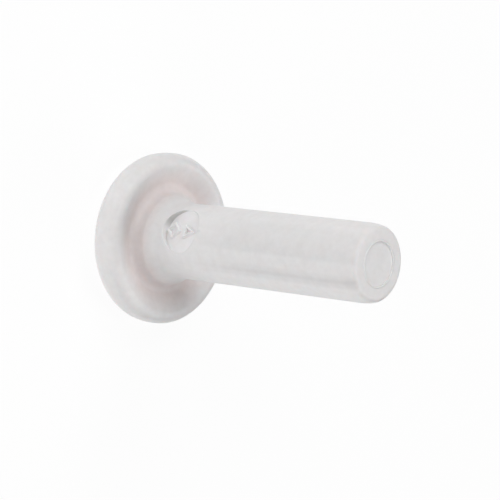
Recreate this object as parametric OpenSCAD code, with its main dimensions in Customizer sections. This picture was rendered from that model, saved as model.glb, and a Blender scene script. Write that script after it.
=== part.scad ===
// Headed blanking plug, moulded in one piece: a round head with a rounded rim and a dished
// underside, a flared hub, a plain straight shank and a rounded, closed tip.
// The origin is the centre of the head's outer face. +Z runs up the shank to the tip.

/* [Overall] */
// Length of the whole plug, from the head's outer face to the tip
plug_length = 37.8; // [30:0.1:50]
// Diameter of the shank, the standard size that the plug fills
shank_d = 9.525; // [8:0.025:12]

/* [Head] */
// Diameter over the rim
head_d = 21.6; // [17.5:0.1:28]
// Thickness of the head at the rim's crest
head_t = 4.9; // [4.4:0.1:8]
// Radius of the rim's edge on the shank side
rim_front_r = 1.15; // [1:0.05:1.4]
// Radius of the rim's edge on the outer face
rim_back_r = 2.9; // [0.5:0.1:2.9]

/* [Underside] */
// Depth of the dish at the foot of the hub, below the rim's crest and before its round
dish_depth = 1.7; // [1:0.05:2]
// Radius of the round between the dish and the hub
groove_r = 1; // [0.2:0.05:1]
// How far the foot of the hub stands out from the shank
hub_flare = 1; // [0.4:0.05:1.3]
// Straight height of the hub's foot, between its two rounds
foot_wall = 0.05; // [0.05:0.05:1]
// Radius of the hub's shoulder, at the top of its foot
shoulder_r = 0.8; // [0.2:0.05:0.8]
// Height of the hub's flank above its shoulder
flank_height = 1.6; // [1.5:0.1:3]
// Radius that blends the hub's flank in to the shank
hub_blend_r = 2; // [1:0.5:4]

/* [Tip] */
// Length over which the shank rounds in to the tip
lead_length = 1.88; // [1.6:0.02:2.5]
// How far the tip's end face stands in from the shank's wall
lead_drop = 0.31; // [0.2:0.01:0.8]
// Radius that breaks the edge of the end face
tip_edge_r = 0.64; // [0.1:0.02:0.7]
// Diameter of the ejector's witness disc on the end face
witness_d = 5.5; // [4:0.1:6]
// Depth of the witness disc below the end face
witness_depth = 0.12; // [0.05:0.01:0.3]
// Width of the fine bead around the witness disc
bead_width = 0.24; // [0.15:0.01:0.4]
// Height of the bead above the end face
bead_height = 0.08; // [0.04:0.01:0.12]

/* [Marking pocket] */
// Diameter of the round pocket in the shank's side
pocket_d = 5.6; // [4.8:0.1:6.8]
// Distance from the rim's crest up to the pocket's centre
pocket_rise = 5.05; // [5:0.05:9]
// Depth of the pocket at its two sides, where the shank curves away
pocket_side_depth = 0.06; // [0.02:0.01:0.3]
// Gap between the pocket's wall and the nearer of the two raised shapes
mark_gap = 0.15; // [0.05:0.05:0.5]
// Radius of the corners of the two raised shapes on the pocket's floor
mark_r = 1.1; // [0.8:0.05:1.1]
// Distance between the centres of the two raised shapes
mark_pitch = 2.3; // [1.8:0.1:2.4]
// Width of the line that the raised shapes are drawn with
mark_stroke = 0.32; // [0.2:0.02:0.36]
// How far the raised shapes stand above the pocket's floor
mark_relief = 0.45; // [0.1:0.05:0.6]

/* [Gate mark] */
// Diameter of the shallow dimple in the middle of the head's outer face
dimple_d = 4; // [3:0.1:6]
// Depth of the dimple
dimple_depth = 0.5; // [0.2:0.05:1]
// Diameter of the gate's stub on the dimple's floor
gate_d = 1.6; // [0.8:0.1:2.4]
// Height of the gate's stub, which stays below the outer face
gate_height = 0.15; // [0.05:0.05:0.15]

/* [Hidden] */
$fn = 120;

milky = [0.86, 0.85, 0.85];
overlap = 0.05;

// Blends meet their neighbours at this small angle, in degrees, and not at a bare tangent, so that
// the edges between them are well defined.
bite = 4;

head_r = head_d / 2;
shank_r = shank_d / 2;
witness_r = witness_d / 2;
pocket_r = pocket_d / 2;

// Front round of the rim. The dish starts just inside it and falls in a straight slope to the hub.
rim_centre = [head_r - rim_front_r, head_t - rim_front_r];
groove = [shank_r + hub_flare, head_t - dish_depth];
to_groove = groove - rim_centre;
dish_offset = rim_front_r * cos(bite);
dish_angle = atan2(to_groove.y, to_groove.x) - acos(dish_offset / norm(to_groove));
dish_start = rim_centre + dish_offset * [cos(dish_angle), sin(dish_angle)];
to_dish = dish_start - groove;

// The hub stands upright on the dish, and its flank leans in from the shoulder to the shank's wall.
upwards = [0, 1];
lean = [-hub_flare, flank_height];
foot_height = reach(to_dish, upwards, groove_r) + foot_wall + reach(-upwards, lean, shoulder_r);
shoulder = groove + [0, foot_height];
hub_top = shoulder + lean;
end_face = plug_length - bead_height;
shank_wall = [shank_r, end_face];

// The lead-in arc leaves the shank's wall and meets the end face.
lead_start = end_face - lead_length;
lead_r = (lead_length * lead_length + lead_drop * lead_drop) / (2 * lead_drop);
lead_centre = [shank_r - lead_r * cos(bite), lead_start];

// The round that breaks the tip's edge runs from the lead-in arc to the end face.
edge_rise = lead_length - tip_edge_r * cos(bite);
edge_span_squared = pow(lead_r, 2) + pow(tip_edge_r, 2) - 2 * lead_r * tip_edge_r * cos(bite);
edge_centre = lead_centre + [sqrt(edge_span_squared - pow(edge_rise, 2)), edge_rise];
edge_outwards = unit(edge_centre - lead_centre);

// The pocket's floor is a flat that lies pocket_side_depth below the wall at the pocket's sides.
pocket_floor = sqrt(shank_r * shank_r - pocket_r * pocket_r) - pocket_side_depth;
pocket_z = head_t + pocket_rise;
first_mark_z = pocket_z - pocket_r + mark_gap + mark_r;
diamond_sides = 4;
triangle_sides = 3;

function unit(v) = v / norm(v);

// How far from a corner a round of radius r ends, along the two lines that leave the corner.
function reach(line_a, line_b, r) = r * cos(bite) / tan(acos(unit(line_a) * unit(line_b)) / 2);

// What is cut from the square corner at [x, y] to leave a round of radius r. The material lies
// towards the signs given.
module corner_waste(x, y, sign_x, sign_y, r) {
    translate([x, y])
        mirror([sign_x > 0 ? 0 : 1, 0])
            mirror([0, sign_y > 0 ? 0 : 1])
                difference() {
                    translate([-overlap, -overlap])
                        square(r + overlap);
                    translate([r, r])
                        circle(r);
                }
}

// What lies between the sharp corner of the lines corner-before and corner-after and its round of
// radius r. It fills a hollow corner, or is cut from an outer one.
module corner_patch(before, corner, after, r) {
    to_before = unit(before - corner);
    to_after = unit(after - corner);
    half_angle = acos(to_before * to_after) / 2;
    centre = corner + unit(to_before + to_after) * r * cos(bite) / sin(half_angle);
    extent = reach(to_before, to_after, r);
    beyond = corner - unit(to_before + to_after) * overlap;
    difference() {
        polygon([beyond, corner + to_before * extent, centre, corner + to_after * extent]);
        translate(centre)
            circle(r);
    }
}

// Section of the head: a disc with both edges rounded.
module head_section() {
    difference() {
        square([head_r, head_t]);
        corner_waste(head_r, head_t, -1, -1, rim_front_r);
        corner_waste(head_r, 0, -1, 1, rim_back_r);
    }
}

// Section of the dish: the space above the slope that runs from the rim's round to the groove.
module dish_section() {
    above = head_t + overlap;
    difference() {
        polygon([[0, groove.y], groove, dish_start, rim_centre, [rim_centre.x, above], [0, above]]);
        translate(rim_centre)
            circle(rim_front_r);
    }
}

// Section of the hub and the shank's straight wall, with the hollow corners filled and the shoulder
// rounded.
module shank_section() {
    difference() {
        polygon([[0, 0], [groove.x, 0], groove, shoulder, hub_top, [shank_r, lead_start],
                 [0, lead_start]]);
        corner_patch(groove, shoulder, hub_top, shoulder_r);
    }
    corner_patch(dish_start, groove, shoulder, groove_r);
    corner_patch(shoulder, hub_top, shank_wall, hub_blend_r);
}

// Section of the tip: the lead-in arc, the softened edge, the witness disc and its bead.
module tip_section() {
    difference() {
        intersection() {
            translate([0, lead_start - overlap])
                square([shank_r, lead_length + overlap]);
            union() {
                translate([0, lead_start - overlap])
                    square([shank_r, overlap]);
                translate(lead_centre)
                    circle(lead_r);
                translate([0, lead_start])
                    square([lead_centre.x, lead_length]);
            }
        }
        difference() {
            polygon([edge_centre, edge_centre + [0, 2 * tip_edge_r],
                     edge_centre + [2, 2] * tip_edge_r, edge_centre + edge_outwards * 2 * tip_edge_r]);
            translate(edge_centre)
                circle(tip_edge_r);
        }
        translate([0, end_face - witness_depth])
            square([witness_r, witness_depth + overlap]);
    }
    translate([witness_r, plug_length - bead_width / 2])
        circle(d = bead_width);
}

// Section of the gate's dimple, with the stub left standing on its floor.
module gate_section() {
    difference() {
        translate([0, -overlap])
            square([dimple_d / 2, dimple_depth + overlap]);
        translate([0, dimple_depth - gate_height])
            square([gate_d / 2, gate_height]);
    }
}

// The turned body of the plug, before its pocket is cut.
module turned_body() {
    rotate_extrude()
        difference() {
            union() {
                difference() {
                    head_section();
                    dish_section();
                }
                shank_section();
                tip_section();
            }
            gate_section();
        }
}

// A closed straight-sided outline of even width, with a corner pointing along +X.
module outline(sides) {
    difference() {
        circle(mark_r, $fn = sides);
        circle(mark_r - mark_stroke / cos(180 / sides), $fn = sides);
    }
}

// The two raised shapes that stand in for the maker's marking: a diamond and a triangle.
module mark() {
    translate([0, overlap - pocket_floor, first_mark_z])
        rotate([90, 0, 0])
            linear_extrude(mark_relief + overlap) {
                outline(diamond_sides);
                translate([0, mark_pitch])
                    rotate([0, 0, 90])
                        outline(triangle_sides);
            }
}

// The round pocket in the shank's side, open outwards.
module pocket() {
    translate([0, -pocket_floor, pocket_z])
        rotate([90, 0, 0])
            cylinder(r = pocket_r, h = head_r);
}

module plug() {
    color(milky)
        union() {
            difference() {
                turned_body();
                pocket();
            }
            mark();
        }
}

plug();
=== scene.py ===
"""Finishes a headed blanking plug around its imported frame.

The plug is one milky plastic moulding. It has a round head with a dished underside, a flared hub, a
plain shank with a round marking pocket near the head, and a rounded, closed tip. It stands on its head
at the origin with the shank up +Z, and the pocket faces -Y. Sizes are in metres unless a name says so.
"""

import logging
import math
from dataclasses import dataclass, field
from enum import Enum

import bmesh
import bpy
from mathutils import Matrix, Quaternion, Vector


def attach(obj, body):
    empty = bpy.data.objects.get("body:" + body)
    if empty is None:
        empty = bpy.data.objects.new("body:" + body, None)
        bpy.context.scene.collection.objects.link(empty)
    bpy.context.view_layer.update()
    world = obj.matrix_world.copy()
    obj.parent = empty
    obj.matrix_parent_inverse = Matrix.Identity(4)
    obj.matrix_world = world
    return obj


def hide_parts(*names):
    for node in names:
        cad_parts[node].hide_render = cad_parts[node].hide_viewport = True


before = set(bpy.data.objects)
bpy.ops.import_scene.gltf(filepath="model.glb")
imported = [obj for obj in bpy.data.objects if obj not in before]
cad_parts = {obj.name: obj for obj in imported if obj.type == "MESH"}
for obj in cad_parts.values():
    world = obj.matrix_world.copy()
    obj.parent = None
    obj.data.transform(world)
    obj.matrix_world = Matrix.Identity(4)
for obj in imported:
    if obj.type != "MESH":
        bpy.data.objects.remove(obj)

log = logging.getLogger("plug")

MM = 0.001
MERGE_DISTANCE = 0.002 * MM
HALF_TURN = 180.0
FULL_TURN = 360.0

Colour = tuple[float, float, float, float]
Span = tuple[float, float]

WHITE: Colour = (1.0, 1.0, 1.0, 1.0)


def smooth_step(value: float) -> float:
    """Eases a value from 0 to 1.

    Args:
        value: Any number; below 0 counts as 0 and above 1 as 1.

    Returns:
        The eased share, level at both ends.
    """
    share = min(1.0, max(0.0, value))
    return share * share * (3.0 - 2.0 * share)


class MarkShape(Enum):
    """The raised shapes on the pocket's floor, by their number of sides and the way a corner points."""

    DIAMOND = (4, 0.0)
    TRIANGLE = (3, 90.0)

    @property
    def sides(self) -> int:
        """Number of the shape's straight sides."""
        return self.value[0]

    @property
    def heading(self) -> float:
        """Direction of one corner, in radians from +X towards +Z."""
        return math.radians(self.value[1])


class Outline:
    """A wire in the XZ plane, drawn step by step, that a spin turns into a solid body."""

    def __init__(self, radius: float, height: float) -> None:
        """Starts the wire.

        Args:
            radius: Distance of the first point from the Z axis.
            height: Height of the first point.
        """
        self.mesh = bmesh.new()
        self.tip = bmesh.ops.create_vert(self.mesh, co=(radius, 0.0, height))["vert"][0]

    @property
    def here(self) -> Vector:
        """The wire's last point, as (radius, height)."""
        return Vector((self.tip.co.x, self.tip.co.z))

    def line_to(self, end: Vector, pieces: int = 1) -> None:
        """Draws a straight run.

        Args:
            end: The run's far end, as (radius, height).
            pieces: How many edges the run is made of.
        """
        step = (end - self.here) / pieces
        if step.length < MERGE_DISTANCE:
            return
        for _ in range(pieces):
            made = bmesh.ops.extrude_vert_indiv(self.mesh, verts=[self.tip])
            self.tip = made["verts"][0]
            self.tip.co += Vector((step.x, 0.0, step.y))

    def turn(self, centre: Vector, angle: float, pieces: int) -> None:
        """Draws an arc from the last point.

        Args:
            centre: The arc's centre, as (radius, height).
            angle: How far it turns, in radians, positive from +X towards +Z.
            pieces: How many edges the arc is made of.
        """
        made = bmesh.ops.spin(
            self.mesh, geom=[self.tip], cent=(centre.x, 0.0, centre.y), axis=(0.0, -1.0, 0.0),
            angle=angle, steps=pieces,
        )
        self.tip = next(part for part in made["geom_last"] if isinstance(part, bmesh.types.BMVert))

    def round_corner(self, corner: Vector, after: Vector, radius: float, pieces: int, run: int = 1) -> None:
        """Draws up to a corner and round it, ready for the run towards the next point.

        Args:
            corner: The sharp corner, as (radius, height).
            after: Any point on the run that follows the corner.
            radius: Radius of the round.
            pieces: How many edges the round is made of.
            run: How many edges the straight run before it is made of.
        """
        back = (self.here - corner).normalized()
        onward = (after - corner).normalized()
        half = back.angle(onward) / 2.0
        centre = corner + (back + onward).normalized() * radius / math.sin(half)
        self.line_to(corner + back * radius / math.tan(half), run)
        leftward = onward.x * back.y - onward.y * back.x
        self.turn(centre, math.copysign(math.pi - 2.0 * half, leftward), pieces)


@dataclass(frozen=True)
class MilkyPlastic:
    """Natural, slightly cloudy moulded plastic with faint flow marks and a soft satin sheen.

    Painted light and shade lie over the cloudy tone by place: a painted shade, warmer and darker, round the
    root of the shank over the dish under the head; painted light on the marking pocket's floor; a painted
    shadow in a darker crescent on the pocket's wall; and painted reflections and shade as lighter and
    darker lengthwise bands on the shank. Each fades in from the first value of each of its spans to the
    second. The root shade's spans and the bands' wall span are distances from the shank's axis, and the
    bands' start span is a height. The edges of the pocket's light and of the crescent are distances from
    pocket_middle, the crescent's side span is a place along X, and its rise span a height. Each band is a
    direction round the shank, in degrees from -Y towards +X, and its tone.
    """

    name: str = "milky_plastic"
    clear_tone: Colour = (0.815, 0.802, 0.802, 1.0)
    cloud_tone: Colour = (0.868, 0.858, 0.86, 1.0)
    clear_share: float = 0.42
    cloud_share: float = 0.86
    # Painted shade: a warmer, darker tone round the root of the shank, over the shaded dish under the head.
    root_shade_tone: Colour = (0.965, 0.895, 0.88, 1.0)
    root_shade_inner: Span = (4.9 * MM, 6.2 * MM)
    root_shade_outer: Span = (9.6 * MM, 6.9 * MM)
    # Painted light: a lighter tone on the marking pocket's floor.
    pocket_light_tone: Colour = (1.07, 1.07, 1.075, 1.0)
    pocket_middle: tuple[float, float, float] = (0.0, -4.0 * MM, 9.95 * MM)
    pocket_light_edge: Span = (2.82 * MM, 2.66 * MM)
    # Painted shadow: a darker crescent on the pocket's wall, on the side towards -X and the head.
    crescent_shade_tone: Colour = (0.70, 0.70, 0.69, 1.0)
    crescent_shade_inner: Span = (2.62 * MM, 2.76 * MM)
    crescent_shade_outer: Span = (3.02 * MM, 2.90 * MM)
    crescent_shade_side: Span = (0.1 * MM, -1.3 * MM)
    crescent_shade_rise: Span = (10.0 * MM, 8.7 * MM)
    # Painted reflections and shade: lighter and darker lengthwise bands on the shank's wall, by direction
    # round it.
    reflection_start: Span = (10.0 * MM, 22.0 * MM)
    reflection_wall: Span = (3.9 * MM, 4.6 * MM)
    reflection_streaks: tuple[tuple[float, float], ...] = (
        (-180.0, 0.96), (-148.0, 0.90), (-140.0, 0.97), (-104.0, 0.93), (-96.0, 1.0), (-40.0, 0.98),
        (-18.0, 0.92), (18.0, 0.905), (25.0, 0.965), (37.0, 0.965), (44.0, 0.93), (50.0, 0.87),
        (56.0, 0.94), (66.0, 1.04), (84.0, 1.04), (120.0, 0.98), (128.0, 0.92), (136.0, 0.99),
        (165.0, 0.93),
    )
    ior: float = 1.51
    sheen_low: float = 0.40
    sheen_high: float = 0.54
    scatter_weight: float = 0.35
    scatter_depth: float = 1.3 * MM
    scatter_radius: tuple[float, float, float] = (1.0, 0.72, 0.60)
    cloud_scale: float = 1000.0
    cloud_detail: float = 4.0
    cloud_roughness: float = 0.6
    flow_scale: float = 900.0
    flow_detail: float = 3.0
    flow_roughness: float = 0.55
    flow_stretch: float = 0.16
    flow_weight: float = 0.35
    flow_low: float = 0.3
    flow_high: float = 0.7
    grain_scale: float = 5200.0
    wave_scale: float = 330.0
    grain_depth: float = 0.010 * MM
    wave_depth: float = 0.035 * MM
    relief_detail: float = 2.0
    relief_roughness: float = 0.5

    def build(self) -> bpy.types.Material:
        """Makes the material.

        Returns:
            The node material, which reads only Object coordinates.
        """
        material = bpy.data.materials.new(self.name)
        material.use_nodes = True
        tree = material.node_tree
        shader = tree.nodes["Principled BSDF"]
        shader.inputs["IOR"].default_value = self.ior
        shader.inputs["Subsurface Weight"].default_value = self.scatter_weight
        shader.inputs["Subsurface Radius"].default_value = self.scatter_radius
        shader.inputs["Subsurface Scale"].default_value = self.scatter_depth
        place = tree.nodes.new("ShaderNodeTexCoord").outputs["Object"]
        drawn_out = self._stretched(tree, place)
        clouds = self._noise(tree, place, self.cloud_scale, self.cloud_detail, self.cloud_roughness)
        flow = self._noise(tree, drawn_out, self.flow_scale, self.flow_detail, self.flow_roughness)
        body = self._tint(tree, clouds, flow)
        # Painted shade round the root, painted light and shadow in the pocket, and painted reflections on
        # the shank go over the plastic's own colour.
        root_shaded = self._lay_painted_light(tree, body, self._root_shade(tree, place))
        marked = self._lay_painted_light(tree, root_shaded, self._pocket_light_and_shade(tree, place))
        with_reflections = self._lay_painted_light(tree, marked, self._reflection_bands(tree, place))
        tree.links.new(with_reflections, shader.inputs["Base Color"])
        self._polish(tree, flow, shader.inputs["Roughness"])
        self._texture(tree, place, shader.inputs["Normal"])
        return material

    def _noise(self, tree: bpy.types.NodeTree, place: bpy.types.NodeSocket, scale: float, detail: float,
               roughness: float) -> bpy.types.NodeSocket:
        """Adds a noise pattern.

        Args:
            tree: The material's node tree.
            place: Coordinates that the pattern reads.
            scale: Cells of the pattern in a metre.
            detail: Finer layers on the pattern.
            roughness: Strength of the finer layers.

        Returns:
            The pattern's value, about 0 to 1.
        """
        node = tree.nodes.new("ShaderNodeTexNoise")
        node.inputs["Scale"].default_value = scale
        node.inputs["Detail"].default_value = detail
        node.inputs["Roughness"].default_value = roughness
        tree.links.new(place, node.inputs["Vector"])
        return node.outputs["Fac"]

    def _stretched(self, tree: bpy.types.NodeTree, place: bpy.types.NodeSocket) -> bpy.types.NodeSocket:
        """Draws the coordinates out along the shank, for marks that follow the plastic's flow.

        Args:
            tree: The material's node tree.
            place: Coordinates to stretch.

        Returns:
            The stretched coordinates.
        """
        node = tree.nodes.new("ShaderNodeMapping")
        node.inputs["Scale"].default_value = (1.0, 1.0, self.flow_stretch)
        tree.links.new(place, node.inputs["Vector"])
        return node.outputs["Vector"]

    def _tint(self, tree: bpy.types.NodeTree, clouds: bpy.types.NodeSocket,
              flow: bpy.types.NodeSocket) -> bpy.types.NodeSocket:
        """Mixes the two tones by the clouds and the flow marks.

        Args:
            tree: The material's node tree.
            clouds: The cloud pattern.
            flow: The flow pattern.

        Returns:
            The plastic's own colour.
        """
        blend = tree.nodes.new("ShaderNodeMath")
        blend.operation = "MULTIPLY_ADD"
        blend.inputs[1].default_value = self.flow_weight
        tree.links.new(flow, blend.inputs[0])
        tree.links.new(clouds, blend.inputs[2])
        ramp = tree.nodes.new("ShaderNodeValToRGB")
        ramp.color_ramp.elements[0].position = self.clear_share
        ramp.color_ramp.elements[0].color = self.clear_tone
        ramp.color_ramp.elements[1].position = self.cloud_share
        ramp.color_ramp.elements[1].color = self.cloud_tone
        tree.links.new(blend.outputs["Value"], ramp.inputs["Fac"])
        return ramp.outputs["Color"]

    def _lay_painted_light(self, tree: bpy.types.NodeTree, under: bpy.types.NodeSocket,
               painted_light: bpy.types.NodeSocket) -> bpy.types.NodeSocket:
        """Lays painted light or shade over a colour, by multiplying one colour by another.

        Args:
            tree: The material's node tree.
            under: The colour so far.
            painted_light: The colour that goes over it.

        Returns:
            The product.
        """
        node = tree.nodes.new("ShaderNodeVectorMath")
        node.operation = "MULTIPLY"
        tree.links.new(under, node.inputs[0])
        tree.links.new(painted_light, node.inputs[1])
        return node.outputs["Vector"]

    def _share(self, tree: bpy.types.NodeTree, value: bpy.types.NodeSocket,
               span: Span) -> bpy.types.NodeSocket:
        """Eases a value from 0 at the start of a span to 1 at its end.

        Args:
            tree: The material's node tree.
            value: The value to ease.
            span: Where it starts and ends, in either order.

        Returns:
            The eased share.
        """
        node = tree.nodes.new("ShaderNodeMapRange")
        node.interpolation_type = "SMOOTHSTEP"
        low, high = min(span), max(span)
        node.inputs["From Min"].default_value = low
        node.inputs["From Max"].default_value = high
        node.inputs["To Min"].default_value = 0.0 if span[0] < span[1] else 1.0
        node.inputs["To Max"].default_value = 1.0 if span[0] < span[1] else 0.0
        tree.links.new(value, node.inputs["Value"])
        return node.outputs["Result"]

    def _math(self, tree: bpy.types.NodeTree, operation: str, first: bpy.types.NodeSocket,
              second: bpy.types.NodeSocket) -> bpy.types.NodeSocket:
        """Adds one step of arithmetic.

        Args:
            tree: The material's node tree.
            operation: The step's name among the math node's own.
            first: Its first value.
            second: Its second value.

        Returns:
            The result.
        """
        node = tree.nodes.new("ShaderNodeMath")
        node.operation = operation
        tree.links.new(first, node.inputs[0])
        tree.links.new(second, node.inputs[1])
        return node.outputs["Value"]

    def _fade(self, tree: bpy.types.NodeTree, share: bpy.types.NodeSocket,
              tint: bpy.types.NodeSocket | Colour) -> bpy.types.NodeSocket:
        """Fades a tint in from white.

        Args:
            tree: The material's node tree.
            share: How much of the tint shows, 0 to 1.
            tint: The tint, as a socket or a colour.

        Returns:
            The faded tint.
        """
        node = tree.nodes.new("ShaderNodeMixRGB")
        node.inputs["Color1"].default_value = WHITE
        if isinstance(tint, tuple):
            node.inputs["Color2"].default_value = tint
        else:
            tree.links.new(tint, node.inputs["Color2"])
        tree.links.new(share, node.inputs["Fac"])
        return node.outputs["Color"]

    def _radius(self, tree: bpy.types.NodeTree, place: bpy.types.NodeSocket) -> bpy.types.NodeSocket:
        """Measures the distance from the shank's axis.

        Args:
            tree: The material's node tree.
            place: Coordinates that are measured.

        Returns:
            The distance.
        """
        flat = tree.nodes.new("ShaderNodeVectorMath")
        flat.operation = "MULTIPLY"
        flat.inputs[1].default_value = (1.0, 1.0, 0.0)
        tree.links.new(place, flat.inputs[0])
        length = tree.nodes.new("ShaderNodeVectorMath")
        length.operation = "LENGTH"
        tree.links.new(flat.outputs["Vector"], length.inputs[0])
        return length.outputs["Value"]

    def _pocket_light_and_shade(self, tree: bpy.types.NodeTree, place: bpy.types.NodeSocket) -> bpy.types.NodeSocket:
        """Paints light on the marking pocket's floor, and a painted shadow on its wall on the side towards
        -X and the head.

        Args:
            tree: The material's node tree.
            place: Coordinates that the tint reads.

        Returns:
            The tint.
        """
        reach = tree.nodes.new("ShaderNodeVectorMath")
        reach.operation = "DISTANCE"
        reach.inputs[1].default_value = self.pocket_middle
        tree.links.new(place, reach.inputs[0])
        distance = reach.outputs["Value"]
        axes = tree.nodes.new("ShaderNodeSeparateXYZ")
        tree.links.new(place, axes.inputs["Vector"])
        # Painted light on the pocket's floor.
        floor = self._fade(tree, self._share(tree, distance, self.pocket_light_edge), self.pocket_light_tone)
        # Painted shadow in a crescent on the pocket's wall, towards -X and the head.
        inner = self._share(tree, distance, self.crescent_shade_inner)
        outer = self._share(tree, distance, self.crescent_shade_outer)
        ring = self._math(tree, "MULTIPLY", inner, outer)
        side = self._share(tree, axes.outputs["X"], self.crescent_shade_side)
        rise = self._share(tree, axes.outputs["Z"], self.crescent_shade_rise)
        quarter = self._math(tree, "MULTIPLY", side, rise)
        crescent = self._math(tree, "MULTIPLY", ring, quarter)
        return self._lay_painted_light(tree, floor, self._fade(tree, crescent, self.crescent_shade_tone))

    def _root_shade(self, tree: bpy.types.NodeTree, place: bpy.types.NodeSocket) -> bpy.types.NodeSocket:
        """Paints a warmer, darker shade round the root of the shank, over the dish under the head.

        Args:
            tree: The material's node tree.
            place: Coordinates that the tint reads.

        Returns:
            The tint.
        """
        radius = self._radius(tree, place)
        inner = self._share(tree, radius, self.root_shade_inner)
        outer = self._share(tree, radius, self.root_shade_outer)
        return self._fade(tree, self._math(tree, "MULTIPLY", inner, outer), self.root_shade_tone)

    def _reflection_bands(self, tree: bpy.types.NodeTree, place: bpy.types.NodeSocket) -> bpy.types.NodeSocket:
        """Paints reflections and shade as lighter and darker bands along the shank's wall, by their
        direction round it.

        Args:
            tree: The material's node tree.
            place: Coordinates that the tint reads.

        Returns:
            The tint.
        """
        axes = tree.nodes.new("ShaderNodeSeparateXYZ")
        tree.links.new(place, axes.inputs["Vector"])
        front = tree.nodes.new("ShaderNodeMath")
        front.operation = "MULTIPLY"
        front.inputs[1].default_value = -1.0
        tree.links.new(axes.outputs["Y"], front.inputs[0])
        angle = self._math(tree, "ARCTAN2", axes.outputs["X"], front.outputs["Value"])
        turn = tree.nodes.new("ShaderNodeMapRange")
        turn.inputs["From Min"].default_value = -math.pi
        turn.inputs["From Max"].default_value = math.pi
        tree.links.new(angle, turn.inputs["Value"])
        ramp = tree.nodes.new("ShaderNodeValToRGB")
        ramp.color_ramp.interpolation = "EASE"
        stops = ramp.color_ramp.elements
        while len(stops) < len(self.reflection_streaks) + 1:
            stops.new(1.0)
        last = (HALF_TURN, self.reflection_streaks[0][1])
        for stop, (direction, tone) in zip(stops, self.reflection_streaks + (last,)):
            stop.position = 0.5 + direction / FULL_TURN
            stop.color = (tone, tone, tone, 1.0)
        tree.links.new(turn.outputs["Result"], ramp.inputs["Fac"])
        along = self._share(tree, axes.outputs["Z"], self.reflection_start)
        wall = self._share(tree, self._radius(tree, place), self.reflection_wall)
        return self._fade(tree, self._math(tree, "MULTIPLY", along, wall), ramp.outputs["Color"])

    def _polish(self, tree: bpy.types.NodeTree, flow: bpy.types.NodeSocket,
                target: bpy.types.NodeSocket) -> None:
        """Varies the roughness along the flow marks.

        Args:
            tree: The material's node tree.
            flow: The flow pattern.
            target: The socket that takes the roughness.
        """
        span = tree.nodes.new("ShaderNodeMapRange")
        span.inputs["From Min"].default_value = self.flow_low
        span.inputs["From Max"].default_value = self.flow_high
        span.inputs["To Min"].default_value = self.sheen_low
        span.inputs["To Max"].default_value = self.sheen_high
        tree.links.new(flow, span.inputs["Value"])
        tree.links.new(span.outputs["Result"], target)

    def _texture(self, tree: bpy.types.NodeTree, place: bpy.types.NodeSocket,
                 target: bpy.types.NodeSocket) -> None:
        """Adds the mould's fine grain over slow shrinkage waves.

        Args:
            tree: The material's node tree.
            place: Coordinates that the patterns read.
            target: The shader's normal socket.
        """
        under = None
        for scale, depth in ((self.wave_scale, self.wave_depth), (self.grain_scale, self.grain_depth)):
            bump = tree.nodes.new("ShaderNodeBump")
            bump.inputs["Strength"].default_value = 1.0
            bump.inputs["Distance"].default_value = depth
            relief = self._noise(tree, place, scale, self.relief_detail, self.relief_roughness)
            tree.links.new(relief, bump.inputs["Height"])
            if under is not None:
                tree.links.new(under, bump.inputs["Normal"])
            under = bump.outputs["Normal"]
        tree.links.new(under, target)


@dataclass(frozen=True)
class EdgeCounts:
    """How many edges of the mesh each stretch of the plug's outline is made of."""

    stub_top: int = 4
    gate_edge: int = 4
    dimple_floor: int = 4
    dimple_edge: int = 6
    outer_face: int = 8
    rim_back: int = 18
    rim_side: int = 3
    rim_front: int = 18
    dish: int = 8
    groove: int = 16
    shoulder: int = 8
    flank: int = 16
    hub_blend: int = 18
    wall: int = 24
    lead: int = 14
    tip_edge: int = 6
    end_face: int = 8
    bead: int = 10
    witness_floor: int = 8


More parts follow.
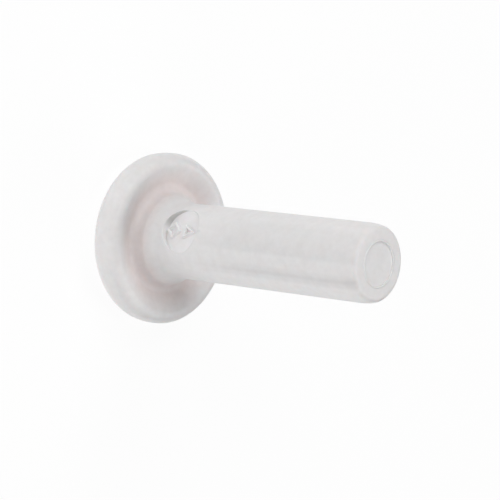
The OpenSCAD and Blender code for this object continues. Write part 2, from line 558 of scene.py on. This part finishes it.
@dataclass
class BlankingPlug:
    """The plug: head, hub, shank and tip turned from one outline, with the marking pocket sunk in its side.

    The steps are how many parts the turn round the axis is made of, in the sector that holds the pocket
    and in the rest of the circle.
    """

    name: str = "plug_moulding"
    node: str = "plug"
    body: str = "root"
    slot: str = "moulding"
    length: float = 37.8 * MM
    shank_radius: float = 4.7625 * MM
    head_radius: float = 10.8 * MM
    head_thickness: float = 4.9 * MM
    rim_front: float = 1.15 * MM
    rim_back: float = 2.9 * MM
    dish_depth: float = 1.7 * MM
    groove_round: float = 1.0 * MM
    hub_flare: float = 1.0 * MM
    foot_height: float = 1.846 * MM
    shoulder_round: float = 0.8 * MM
    flank_height: float = 1.6 * MM
    hub_blend: float = 2.0 * MM
    lead_length: float = 1.88 * MM
    lead_drop: float = 0.31 * MM
    tip_edge: float = 0.64 * MM
    witness_radius: float = 2.75 * MM
    witness_depth: float = 0.12 * MM
    bead_width: float = 0.24 * MM
    bead_height: float = 0.08 * MM
    dimple_radius: float = 2.0 * MM
    dimple_depth: float = 0.5 * MM
    gate_radius: float = 0.8 * MM
    gate_height: float = 0.15 * MM
    gate_edge: float = 0.06 * MM
    dimple_edge: float = 0.18 * MM
    pocket_radius: float = 2.8 * MM
    pocket_height: float = 9.95 * MM
    pocket_floor: float = 3.79 * MM
    pocket_wall: float = 0.07 * MM
    mark_gap: float = 0.15 * MM
    mark_radius: float = 1.1 * MM
    mark_pitch: float = 2.3 * MM
    mark_stroke: float = 0.32 * MM
    mark_relief: float = 0.45 * MM
    mark_edge: float = 0.06 * MM
    mark_margin: float = 0.2 * MM
    fine_cell: float = 0.05 * MM
    sector: float = math.radians(76.0)
    sector_steps: int = 120
    rest_steps: int = 132
    edges: EdgeCounts = field(default_factory=EdgeCounts)
    finish: MilkyPlastic = field(default_factory=MilkyPlastic)

    def build(self) -> bpy.types.Object:
        """Makes the plug's mesh and its object.

        Returns:
            The plug, at the origin, with its place in its mesh.
        """
        outline = self.draw_outline()
        self.spin_body(outline)
        self.refine_marks(outline.mesh)
        self.sink_pocket(outline.mesh)
        bmesh.ops.recalc_face_normals(outline.mesh, faces=outline.mesh.faces)
        for face in outline.mesh.faces:
            face.smooth = True
        data = bpy.data.meshes.new(self.name)
        outline.mesh.to_mesh(data)
        outline.mesh.free()
        plug = bpy.data.objects.new(self.name, data)
        bpy.context.scene.collection.objects.link(plug)
        return plug

    def draw_outline(self) -> Outline:
        """Draws half of the plug's section, from the middle of the outer face to the middle of the tip.

        Returns:
            The finished wire.
        """
        outline = Outline(0.0, self.dimple_depth - self.gate_height)
        self._draw_gate(outline)
        self._draw_head(outline)
        self._draw_shank(outline)
        self._draw_tip(outline)
        return outline

    def _draw_gate(self, outline: Outline) -> None:
        """Draws the gate's stub and the dimple round it.

        Args:
            outline: The wire so far.
        """
        stub_top = self.dimple_depth - self.gate_height
        stub_corner = Vector((self.gate_radius, stub_top))
        stub_foot = Vector((self.gate_radius, self.dimple_depth))
        dimple_corner = Vector((self.dimple_radius, self.dimple_depth))
        dimple_mouth = Vector((self.dimple_radius, 0.0))
        outer_face = Vector((self.head_radius, 0.0))
        edges = self.edges
        outline.round_corner(stub_corner, stub_foot, self.gate_edge, edges.gate_edge, edges.stub_top)
        outline.round_corner(stub_foot, dimple_corner, self.gate_edge, edges.gate_edge)
        outline.round_corner(dimple_corner, dimple_mouth, self.dimple_edge, edges.dimple_edge,
                             edges.dimple_floor)
        outline.round_corner(dimple_mouth, outer_face, self.dimple_edge, edges.dimple_edge)

    def _draw_head(self, outline: Outline) -> None:
        """Draws the outer face, both rounds of the rim and the dished underside, down to the groove.

        Args:
            outline: The wire so far.
        """
        outer_corner = Vector((self.head_radius, 0.0))
        centre = Vector((self.head_radius - self.rim_front, self.head_thickness - self.rim_front))
        groove = Vector((self.shank_radius + self.hub_flare, self.head_thickness - self.dish_depth))
        shoulder = groove + Vector((0.0, self.foot_height))
        to_groove = groove - centre
        away = math.atan2(to_groove.y, to_groove.x) % math.tau
        round_end = away - math.acos(self.rim_front / to_groove.length)
        side = centre + Vector((self.rim_front, 0.0))
        edges = self.edges
        outline.round_corner(outer_corner, side, self.rim_back, edges.rim_back, edges.outer_face)
        outline.line_to(side, edges.rim_side)
        outline.turn(centre, round_end, edges.rim_front)
        outline.round_corner(groove, shoulder, self.groove_round, edges.groove, edges.dish)

    def _draw_shank(self, outline: Outline) -> None:
        """Draws the hub's flank, its blend in to the shank and the straight wall, finely beside the pocket.

        Args:
            outline: The wire so far.
        """
        shoulder_height = self.head_thickness - self.dish_depth + self.foot_height
        shoulder = Vector((self.shank_radius + self.hub_flare, shoulder_height))
        hub_top = Vector((self.shank_radius, shoulder_height + self.flank_height))
        lead_start = Vector((self.shank_radius, self.length - self.bead_height - self.lead_length))
        pocket_end = self.pocket_height + self.pocket_radius + self.pocket_wall
        edges = self.edges
        outline.round_corner(shoulder, hub_top, self.shoulder_round, edges.shoulder)
        outline.round_corner(hub_top, lead_start, self.hub_blend, edges.hub_blend, edges.flank)
        fine_rows = round((pocket_end - outline.here.y) / self.fine_cell)
        outline.line_to(Vector((self.shank_radius, pocket_end)), fine_rows)
        outline.line_to(lead_start, edges.wall)

    def _draw_tip(self, outline: Outline) -> None:
        """Draws the lead-in, the softened edge, the end face, and the witness disc with its fine bead.

        Args:
            outline: The wire so far.
        """
        face = self.length - self.bead_height
        lead_radius = (self.lead_length ** 2 + self.lead_drop ** 2) / (2.0 * self.lead_drop)
        lead_centre = Vector((self.shank_radius - lead_radius, face - self.lead_length))
        rise = self.lead_length - self.tip_edge
        reach = math.sqrt((lead_radius - self.tip_edge) ** 2 - rise ** 2)
        edge_centre = lead_centre + Vector((reach, rise))
        bend = math.atan2(rise, reach)
        edges = self.edges
        outline.turn(lead_centre, bend, edges.lead)
        outline.turn(edge_centre, math.pi / 2.0 - bend, edges.tip_edge)
        bead_radius = self.bead_width / 2.0
        bead_centre = Vector((self.witness_radius, self.length - bead_radius))
        cut_in = math.asin((face - bead_centre.y) / bead_radius)
        bead_foot = bead_centre + Vector((math.cos(cut_in), math.sin(cut_in))) * bead_radius
        floor = Vector((self.witness_radius - bead_radius, face - self.witness_depth))
        floor_middle = Vector((0.0, floor.y))
        outline.line_to(bead_foot, edges.end_face)
        outline.turn(bead_centre, math.pi - cut_in, edges.bead)
        outline.round_corner(floor, floor_middle, self.gate_edge, edges.gate_edge)
        outline.line_to(floor_middle, edges.witness_floor)

    def spin_body(self, outline: Outline) -> None:
        """Spins the wire round the shank's axis, in narrower steps on the side that has the pocket.

        Args:
            outline: The finished wire, whose mesh becomes the body.
        """
        mesh = outline.mesh
        start = Matrix.Rotation(-math.pi / 2.0 - self.sector / 2.0, 4, "Z")
        bmesh.ops.transform(mesh, matrix=start, verts=mesh.verts)
        edge = list(mesh.verts) + list(mesh.edges)
        for angle, steps in ((self.sector, self.sector_steps), (math.tau - self.sector, self.rest_steps)):
            made = bmesh.ops.spin(
                mesh, geom=edge, cent=(0.0, 0.0, 0.0), axis=(0.0, 0.0, 1.0), angle=angle, steps=steps,
            )
            edge = made["geom_last"]
        bmesh.ops.remove_doubles(mesh, verts=mesh.verts, dist=MERGE_DISTANCE)

    def refine_marks(self, mesh: bmesh.types.BMesh) -> None:
        """Halves the cells where the raised shapes stand.

        Args:
            mesh: The turned body.
        """
        width = self.mark_radius + self.mark_margin
        rise = self.mark_pitch / 2.0 + width
        middle = self.first_mark + self.mark_pitch / 2.0

        def inside(vert: bmesh.types.BMVert) -> bool:
            """Tells whether a vertex lies where the raised shapes stand."""
            return vert.co.y < 0.0 and abs(vert.co.x) < width and abs(vert.co.z - middle) < rise

        edges = [edge for edge in mesh.edges if all(inside(vert) for vert in edge.verts)]
        bmesh.ops.subdivide_edges(mesh, edges=edges, cuts=1, use_grid_fill=True)

    @property
    def first_mark(self) -> float:
        """Height of the middle of the raised shape that is nearer to the head."""
        return self.pocket_height - self.pocket_radius + self.mark_gap + self.mark_radius

    def mark_height(self, across: float, height: float) -> float:
        """Finds how far the raised shapes stand out at a point of the pocket's floor.

        Args:
            across: Distance from the pocket's middle along +X.
            height: The point's place along +Z.

        Returns:
            The height above the floor.
        """
        raised = 0.0
        centre = self.first_mark
        for shape in MarkShape:
            half = math.pi / shape.sides
            side = self.mark_radius * math.cos(half)
            headings = [shape.heading + half * turn for turn in range(1, 2 * shape.sides, 2)]
            outward = max(across * math.cos(way) + (height - centre) * math.sin(way) for way in headings)
            into_stroke = min(side - outward, outward - (side - self.mark_stroke))
            raised = max(raised, self.mark_relief * smooth_step(into_stroke / self.mark_edge))
            centre += self.mark_pitch
        return raised

    def sink_pocket(self, mesh: bmesh.types.BMesh) -> None:
        """Sinks the round pocket into the shank and raises its shapes.

        Args:
            mesh: The turned body with its cells refined.
        """
        mouth = self.pocket_radius + self.pocket_wall / 2.0
        for vert in mesh.verts:
            along = vert.co.z - self.pocket_height
            if vert.co.y > 0.0 or abs(along) > mouth or abs(vert.co.x) > mouth:
                continue
            share = smooth_step((mouth - math.hypot(vert.co.x, along)) / self.pocket_wall)
            floor = -self.pocket_floor - self.mark_height(vert.co.x, vert.co.z)
            vert.co.y += (floor - vert.co.y) * share

    def dress(self, plug: bpy.types.Object) -> None:
        """Gives the plug its finish and ties it to the frame.

        Args:
            plug: The object that build made.
        """
        plug.data.materials.append(self.finish.build())
        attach(plug, self.body)
        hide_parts(self.node)


@dataclass(frozen=True)
class SoftLamp:
    """One round soft light: its degrees from -Y towards +X and above the floor, and its watts."""

    name: str
    azimuth: float
    height: float
    power: float


@dataclass
class Studio:
    """The pale floor, the white surroundings, the soft lights and the camera.

    Angles are in degrees. The lens and the sensor are in millimetres.
    """

    floor_size: float = 6.0
    floor_glow: float = 0.93
    floor_look: float = 1.02
    floor_shade: float = 0.10
    floor_tone: Colour = (0.9, 0.9, 0.9, 1.0)
    sky_look: float = 1.0
    sky_fill: float = 0.06
    lamp_distance: float = 0.5
    lamp_size: float = 0.28
    lamps: tuple[SoftLamp, ...] = (
        SoftLamp("front_left", -69.8, 42.0, 0.74),
        SoftLamp("front_high", -29.8, 42.0, 0.67),
        SoftLamp("right_low", 45.2, 12.0, 0.66),
        SoftLamp("right_high", 95.2, 42.0, 0.30),
        SoftLamp("back_high", 185.2, 68.0, 0.60),
        SoftLamp("back", 175.2, 42.0, 0.20),
    )
    aim: tuple[float, float, float] = (0.1809 * MM, 0.0064 * MM, 17.8082 * MM)
    azimuth: float = 16.2
    elevation: float = 40.7209
    roll: float = 96.9812
    distance: float = 272.049 * MM
    lens: float = 160.119
    sensor: float = 36.0
    near_ratio: float = 10.0
    far_ratio: float = 2.0

    def bearing(self, azimuth: float, elevation: float) -> Vector:
        """Finds the direction from the plug to something that stands round it.

        Args:
            azimuth: Degrees from -Y towards +X.
            elevation: Degrees above the floor.

        Returns:
            The unit direction.
        """
        turn, rise = math.radians(azimuth), math.radians(elevation)
        return Vector((math.sin(turn) * math.cos(rise), -math.cos(turn) * math.cos(rise), math.sin(rise)))

    def lay_floor(self) -> bpy.types.Object:
        """Lays a wide plain floor under the plug.

        Returns:
            The floor.
        """
        mesh = bmesh.new()
        bmesh.ops.create_grid(mesh, x_segments=1, y_segments=1, size=self.floor_size / 2.0)
        data = bpy.data.meshes.new("floor")
        mesh.to_mesh(data)
        mesh.free()
        floor = bpy.data.objects.new("floor", data)
        bpy.context.scene.collection.objects.link(floor)
        floor.data.materials.append(self._floor_material())
        return floor

    def _floor_material(self) -> bpy.types.Material:
        """Makes the floor's pale, even finish, which keeps shadows faint.

        Returns:
            The node material.
        """
        material = bpy.data.materials.new("pale_floor")
        material.use_nodes = True
        tree = material.node_tree
        tree.nodes.remove(tree.nodes["Principled BSDF"])
        glow = tree.nodes.new("ShaderNodeEmission")
        tree.links.new(self._seen_or_felt(tree, self.floor_look, self.floor_glow), glow.inputs["Strength"])
        paint = tree.nodes.new("ShaderNodeBsdfDiffuse")
        paint.inputs["Color"].default_value = self.floor_tone
        blend = tree.nodes.new("ShaderNodeMixShader")
        blend.inputs["Fac"].default_value = self.floor_shade
        tree.links.new(glow.outputs["Emission"], blend.inputs[1])
        tree.links.new(paint.outputs["BSDF"], blend.inputs[2])
        tree.links.new(blend.outputs["Shader"], tree.nodes["Material Output"].inputs["Surface"])
        return material

    def _seen_or_felt(self, tree: bpy.types.NodeTree, seen: float, felt: float) -> bpy.types.NodeSocket:
        """Chooses between how bright the stage looks and how strongly it lights the plug.

        Args:
            tree: The node tree of the floor or the world.
            seen: Brightness that the camera sees directly.
            felt: Brightness that reaches the plug.

        Returns:
            The chosen strength.
        """
        strength = tree.nodes.new("ShaderNodeMapRange")
        strength.inputs["To Min"].default_value = felt
        strength.inputs["To Max"].default_value = seen
        direct = tree.nodes.new("ShaderNodeLightPath").outputs["Is Camera Ray"]
        tree.links.new(direct, strength.inputs["Value"])
        return strength.outputs["Result"]

    def light_room(self) -> None:
        """Sets the white surroundings, which shine more softly on the plug than they look."""
        world = bpy.data.worlds.new("studio")
        bpy.context.scene.world = world
        world.use_nodes = True
        tree = world.node_tree
        sky = tree.nodes["Background"]
        sky.inputs["Color"].default_value = WHITE
        tree.links.new(self._seen_or_felt(tree, self.sky_look, self.sky_fill), sky.inputs["Strength"])

    def hang_lamps(self) -> list[bpy.types.Object]:
        """Hangs the soft lights round the plug.

        Returns:
            The lights.
        """
        hung = []
        for lamp in self.lamps:
            data = bpy.data.lights.new(lamp.name, "AREA")
            data.shape = "DISK"
            data.size = self.lamp_size
            data.energy = lamp.power
            light = bpy.data.objects.new(lamp.name, data)
            towards = self.bearing(lamp.azimuth, lamp.height)
            light.location = Vector(self.aim) + towards * self.lamp_distance
            light.rotation_mode = "QUATERNION"
            light.rotation_quaternion = towards.to_track_quat("Z", "Y")
            light.visible_camera = False
            bpy.context.scene.collection.objects.link(light)
            hung.append(light)
        return hung

    def place_camera(self) -> bpy.types.Object:
        """Stands the camera at its viewing angle.

        Returns:
            The scene's camera.
        """
        data = bpy.data.cameras.new("camera")
        data.lens = self.lens
        data.sensor_width = self.sensor
        data.clip_start = self.distance / self.near_ratio
        data.clip_end = self.floor_size * self.far_ratio
        camera = bpy.data.objects.new("camera", data)
        back = self.bearing(self.azimuth, self.elevation)
        camera.location = Vector(self.aim) + back * self.distance
        camera.rotation_mode = "QUATERNION"
        upright = (-back).to_track_quat("-Z", "Y")
        camera.rotation_quaternion = upright @ Quaternion((0.0, 0.0, 1.0), math.radians(self.roll))
        bpy.context.scene.collection.objects.link(camera)
        bpy.context.scene.camera = camera
        return camera

    def set_tone(self) -> None:
        """Keeps the picture's tones plain, without a film curve."""
        bpy.context.scene.view_settings.view_transform = "Standard"


def main() -> None:
    """Builds the plug and its studio."""
    logging.basicConfig(level=logging.INFO, format="%(name)s: %(message)s")
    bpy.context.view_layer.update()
    studio = Studio()
    studio.place_camera()
    studio.lay_floor()
    studio.light_room()
    studio.hang_lamps()
    studio.set_tone()
    maker = BlankingPlug()
    plug = maker.build()
    maker.dress(plug)
    log.info("%s: %d vertices, %d faces", plug.name, len(plug.data.vertices), len(plug.data.polygons))


if __name__ == "__main__":
    main()
